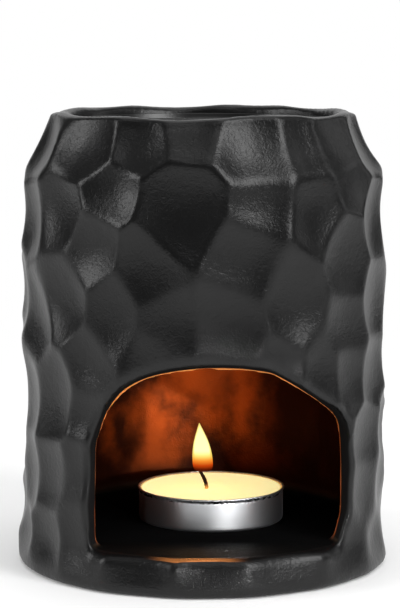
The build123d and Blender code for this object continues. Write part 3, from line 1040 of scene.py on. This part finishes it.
class BURNER_OT_wax_disc(bpy.types.Operator):
    """Pours the tealight's wax, drawn up a little at the foil and round the wick"""

    bl_idname = "burner.wax_disc"
    bl_label = "Tealight wax"

    def execute(self, context):
        light, floor = tealight_sizes(context)
        gap, drawn_up = 0.02 * mm, 0.25 * mm
        top = floor + light.height - light.wax_drop
        outer = light.radius - 2 * light.bead - gap
        low = floor + light.foil + gap
        surface = []
        for step in range(wax_rows + 1):
            radius = outer * (1 - step / wax_rows)
            dip = light.wax_dip * (1 - (radius / outer) ** 2)
            at_foil = drawn_up * exp(-(outer - radius) / (0.7 * mm))
            at_wick = drawn_up * exp(-radius / (1.3 * mm))
            surface.append((radius, top - dip + at_foil + at_wick))
        outline = rounded([(0, low, 0), (outer, low, 0.7 * mm), surface[0] + (0,)], 6) + surface[1:]
        wax = turned("wax_disc", outline, wax_steps, (light.place_x, light.place_y))
        wax.data.materials.append(wax_material(light, context.scene.burner_finishes))
        dress(wax, "tealight", "candle_wax", "tealight_wax")
        return {"FINISHED"}


def wax_middle(light, floor):
    """Height of the wax where it dips most."""
    return floor + light.height - light.wax_drop - light.wax_dip


def wick_path(light, floor):
    """Points of the wick's middle line: up through the wax, then over to the left."""
    surface = wax_middle(light, floor)
    foot = light.place_x - light.wick_place
    line = [(light.place_x, floor + 0.8 * mm), (foot, surface - 1.2 * mm)]
    for step in range(wick_rows + 1):
        part = step / wick_rows
        line.append((foot - light.wick_lean * part ** wick_bend, surface + light.wick_stand * part))
    return [(across, light.place_y, up) for across, up in line]


def wick_material(light, floor):
    """Cotton that is charred where it stands in the flame, and wax-filled below, where its bright orange is
    painted light of the flame.
    """
    material, tree, place = new_material("burnt cotton")
    surface = wax_middle(light, floor)
    burnt = ramp(split(place)[2], surface + 0.3 * mm, surface + 1.6 * mm)
    fibres = noise(place, 2200.0, 3.0)
    # Below the char the cotton takes the wax, painted bright orange as painted light of the flame
    soaked_and_flame_lit = blend(fibres, (0.55, 0.22, 0.05), (0.85, 0.48, 0.16))
    charred = blend(fibres, (0.004, 0.002, 0.001), (0.022, 0.008, 0.003))
    shade(tree, {
        "Base Color": blend(burnt, soaked_and_flame_lit, charred), "Roughness": 0.9, "Specular IOR Level": 0.15,
        "Normal": dented(fibres, 0.6, 0.1 * mm),
    })
    return material


def braided(want):
    """Winds strands round a path."""
    tree = want["Geometry"].tree
    even = take(tree, "GeometryNodeResampleCurve", {0: want["Geometry"], 2: wick_points})
    pair = {0: even, 2: want["Strands"]}
    copies, strand = map(Wire, put(tree, "GeometryNodeDuplicateElements", pair, domain="SPLINE").outputs)
    along = take(tree, "GeometryNodeSplineParameter")
    turn = along * (want["Turns"] * tau) + strand * tau / want["Strands"]
    side = take(tree, "GeometryNodeInputNormal")
    across = aim("CROSS_PRODUCT", take(tree, "GeometryNodeInputTangent"), side)
    size = want["Wick radius"] * ramp(along, 0.80, 1.0, 1.0, 0.45)
    offset = aim("ADD", scaled(side, calc("COSINE", turn) * size), scaled(across, calc("SINE", turn) * size))
    profile = take(tree, "GeometryNodeCurvePrimitiveCircle", {0: strand_sides, 4: want["Strand radius"]})
    return take(tree, "GeometryNodeCurveToMesh", {0: moved(copies, offset), 1: profile, 3: True})


class BURNER_OT_wick_braid(bpy.types.Operator):
    """Braids the wick, burnt and bent to the left"""

    bl_idname = "burner.wick_braid"
    bl_label = "Wick"

    def execute(self, context):
        light, floor = tealight_sizes(context)
        line = bpy.data.curves.new("wick_braid", "CURVE")
        line.dimensions = "3D"
        spline = line.splines.new("POLY")
        path = wick_path(light, floor)
        spline.points.add(len(path) - 1)
        for point, place in zip(spline.points, path):
            point.co = (*place, 1)
        wick = run_tree(linked("wick_braid", line), "braided wick", braided, wick_material(light, floor), {
            "Strands": 3, "Turns": 4.5,
            "Wick radius": light.wick_radius / 2, "Strand radius": light.wick_radius / 2,
        })
        dress(wick, "tealight", "burnt_cotton", "wick")
        return {"FINISHED"}


class BURNER_OT_wick_tab(bpy.types.Operator):
    """Gives the wick's tab under the wax its stamped steel"""

    bl_idname = "burner.wick_tab"
    bl_label = "Wick tab"

    def execute(self, context):
        material, tree, place = new_material("stamped steel")
        lines = noise(stretched(place, y=14.0), 300.0, 3.0)
        shade(tree, {
            "Base Color": blend(lines, (0.42, 0.42, 0.43), (0.62, 0.62, 0.63)), "Metallic": 1.0,
            "Roughness": lines * 0.2 + 0.25,
        })
        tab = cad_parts["wick_sustainer"]
        tab.data.materials.clear()
        tab.data.materials.append(material)
        return {"FINISHED"}


def flame_material(name, low, tall, tones, strengths, solid):
    """A glow that changes with height, from (share of height, colour) stops, and may be seen through."""
    material, tree, place = new_material(name)
    part = take(tree, "ShaderNodeMapRange", (split(place)[2], low, low + tall))
    bands = put(tree, "ShaderNodeValToRGB", (part,))
    stops = bands.color_ramp.elements
    for stop, (position, tone) in zip(stops, (tones[0], tones[-1])):
        stop.position, stop.color = position, (*tone, 1.0)
    for position, tone in tones[1:-1]:
        stops.new(position).color = (*tone, 1.0)
    shine = glow(tree, Wire(bands.outputs[0]), ramp(part, *strengths))
    clear = take(tree, "ShaderNodeBsdfTransparent")
    show(tree, take(tree, "ShaderNodeMixShader", (ramp(part, *solid), clear, shine)))
    return material


class BURNER_OT_flame(bpy.types.Operator):
    """Lights the flame, which rides on the tealight with its light"""

    bl_idname = "burner.flame"
    bl_label = "Flame"

    def execute(self, context):
        light, floor = tealight_sizes(context)
        low = wax_middle(light, floor) + light.wick_stand - 0.3 * mm
        middle = light.place_x - light.wick_place - 0.5 * light.wick_lean
        for name, wide, rise, start, tones, strengths, solid in flame_bodies:
            bottom = low + start * light.flame_height
            tall = rise * light.flame_height
            outline = [
                (half * wide * light.flame_width / 2, bottom + up * tall) for up, half in flame_shares
            ]
            piece = turned(name, outline, flame_steps, (middle, light.place_y))
            for vertex in piece.data.vertices:
                part = max(0.0, (vertex.co.z - low) / light.flame_height)
                vertex.co.x -= light.flame_lean * part ** flame_bend
            piece.data.materials.append(flame_material(name, bottom, tall, tones, strengths, solid))
            change(piece, "SUBSURF", levels=1, render_levels=1)
            smooth(keep_result(piece))
            dress(piece, "tealight", "candle_flame")
            piece.visible_shadow = False
        place = (middle - 0.5 * mm, light.place_y, low + 0.5 * light.flame_height)
        soft = {"color": context.scene.burner_finishes.flame_light, "shadow_soft_size": 2.5 * mm}
        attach(lamp("flame_light", "POINT", flame_power, place, **soft), "tealight")
        return {"FINISHED"}


def stand(name, data, place, target=None):
    """A lamp or camera at its place, turned to a point where one is given."""
    holder = linked(name, data)
    holder.location = place
    if target:
        holder.rotation_euler = (Vector(target) - Vector(place)).to_track_quat("-Z", "Y").to_euler()
    return holder


def placed(turn, up, distance=0.9):
    """A place at a turn from the front and a height, in degrees, at a distance from the burner's middle."""
    turn, up = radians(turn), radians(up)
    level = distance * cos(up)
    return level * sin(turn), -level * cos(turn), burner_middle[2] + distance * sin(up)


# The flat lamps, which face the burner's middle: name, place, width, height and power in watts
softboxes = [
    ("right_strip", placed(46, 33), 0.30, 0.72, 5.4),
    ("left_strip", placed(-76, 22), 0.34, 0.50, 2.9),
    ("right_side", placed(104, 24), 0.32, 0.60, 0.7),
    ("front_top", placed(-8, 50), 0.40, 0.20, 0.5),
    ("overhead", (0.05, 0.0, 0.85), 0.50, 0.50, 1.0),
]

# The narrow lamp that shines through the window on the tealight's cup, with its beam in degrees
snoot_place, snoot_target = (0.22, -0.515, 0.105), (1 * mm, -14 * mm, 20 * mm)
snoot_beam, snoot_power = 3.4, 27.0


def lamp(name, kind, power, place, target=None, **settings):
    """A lamp at its place, turned to a point where one is given."""
    made = settle(bpy.data.lights.new(name, kind), settings)
    made.energy = power
    return stand(name, made, place, target)


def white_world(strength):
    """White where the camera, gloss and glass see it, softer where it only lights."""
    world = bpy.data.worlds.new("studio")
    bpy.context.scene.world = world
    world.use_nodes = True
    tree = world.node_tree
    tree.nodes.clear()
    power = seen(tree) * (1.0 - strength) + strength
    put(tree, "ShaderNodeOutputWorld", (take(tree, "ShaderNodeBackground", (white, power)),))


def floor_material():
    """A pale floor that shows white to the camera and keeps the burner's shadow."""
    material, tree, place = new_material("pale floor")
    shade(tree, {"Base Color": (0.77, 0.77, 0.77, 1.0), "Roughness": 0.7})
    far = ramp(from_axis(place)[0], 0.10, 0.45)
    matt = take(tree, "ShaderNodeMixShader", (far, Wire(tree.nodes["Principled BSDF"].outputs[0])))
    shine = glow(tree, white, seen(tree) * (far * 0.90 + 0.10))
    both = take(tree, "ShaderNodeAddShader", (matt, shine))
    fill(tree, tree.nodes["Material Output"].inputs, {0: both})
    return material


def dark_room():
    """A grey dome round the front and sides, which only reflections see."""
    reach, half_turn, segments, rows = 1.3, 145, 32, 10
    points = []
    for row in range(rows + 1):
        up = 0.5 * pi * row / rows
        away = reach * cos(up)
        for step in range(segments + 1):
            turn = radians(half_turn * (2 * step / segments - 1))
            points.append((away * sin(turn), -away * cos(turn), 1 * mm + reach * sin(up)))
    width = segments + 1
    faces = [(row * width + at, row * width + at + 1, (row + 1) * width + at + 1, (row + 1) * width + at)
             for row in range(rows) for at in range(segments)]
    room = start_mesh("dark_room", points, faces)
    material, tree, place = new_material("dark room")
    show(tree, glow(tree, white, ramp(split(place)[2], 0.55, 1.2, 0.055, 0.20)))
    room.data.materials.append(material)
    for eye in ("camera", "diffuse", "transmission", "shadow"):
        setattr(room, "visible_" + eye, False)


class BURNER_OT_studio(bpy.types.Operator):
    """Sets the floor, the dome, the lamps and the camera"""

    bl_idname = "burner.studio"
    bl_label = "Studio"

    def execute(self, context):
        half, low = 2.5, -0.02 * mm
        corners = [(-half, -half, low), (half, -half, low), (half, half, low), (-half, half, low)]
        floor = start_mesh("floor", corners, [(0, 1, 2, 3)])
        floor.data.materials.append(floor_material())
        dark_room()
        for name, place, wide, tall, power in softboxes:
            lamp(name, "AREA", power, place, burner_middle, shape="RECTANGLE", size=wide, size_y=tall)
        beam = {"spot_size": radians(snoot_beam), "spot_blend": 0.8, "shadow_soft_size": 0.03}
        lamp("snoot", "SPOT", snoot_power, snoot_place, snoot_target, **beam)
        white_world(0.80)
        lens = {"lens": 140, "sensor_width": 36, "clip_start": 0.01}
        holder = stand("camera", settle(bpy.data.cameras.new("camera"), lens), camera_place)
        holder.rotation_euler = (radians(90 - camera_tilt), 0, 0)
        context.scene.camera = holder
        context.scene.view_settings.view_transform = "Standard"
        return {"FINISHED"}


class BURNER_PT_panel(bpy.types.Panel):
    """Lists the burner's sizes and steps"""

    bl_idname = "BURNER_PT_panel"
    bl_label = "Oil Burner"
    bl_space_type = "VIEW_3D"
    bl_region_type = "UI"
    bl_category = "Oil Burner"

    def draw(self, context):
        for name in groups:
            box = self.layout.box()
            box.label(text=name.replace("burner_", "").capitalize())
            for key in getattr(context.scene, name).__annotations__:
                box.prop(getattr(context.scene, name), key)
        for step in steps:
            self.layout.operator(step.bl_idname)


groups = {
    "burner_pot": PotSizes,
    "burner_hammer": HammerSizes,
    "burner_window": WindowSizes,
    "burner_dish": DishSizes,
    "burner_tealight": TealightSizes,
    "burner_finishes": Finishes,
}
steps = (
    BURNER_OT_glazed_shell, BURNER_OT_well_dish, BURNER_OT_foil_cup, BURNER_OT_wax_disc, BURNER_OT_wick_tab,
    BURNER_OT_wick_braid, BURNER_OT_flame, BURNER_OT_studio,
)


def register():
    """Registers the sizes, steps and panel."""
    for name, group in groups.items():
        bpy.utils.register_class(group)
        setattr(bpy.types.Scene, name, bpy.props.PointerProperty(type=group))
    for step in steps:
        bpy.utils.register_class(step)
    bpy.utils.register_class(BURNER_PT_panel)


def unregister():
    """Takes the panel, steps and sizes away again."""
    bpy.utils.unregister_class(BURNER_PT_panel)
    for step in reversed(steps):
        bpy.utils.unregister_class(step)
    for name, group in groups.items():
        delattr(bpy.types.Scene, name)
        bpy.utils.unregister_class(group)


def main():
    """Makes every piece in order."""
    register()
    for step in steps:
        family, action = step.bl_idname.split(".")
        getattr(getattr(bpy.ops, family), action)()


if __name__ == "__main__":
    main()
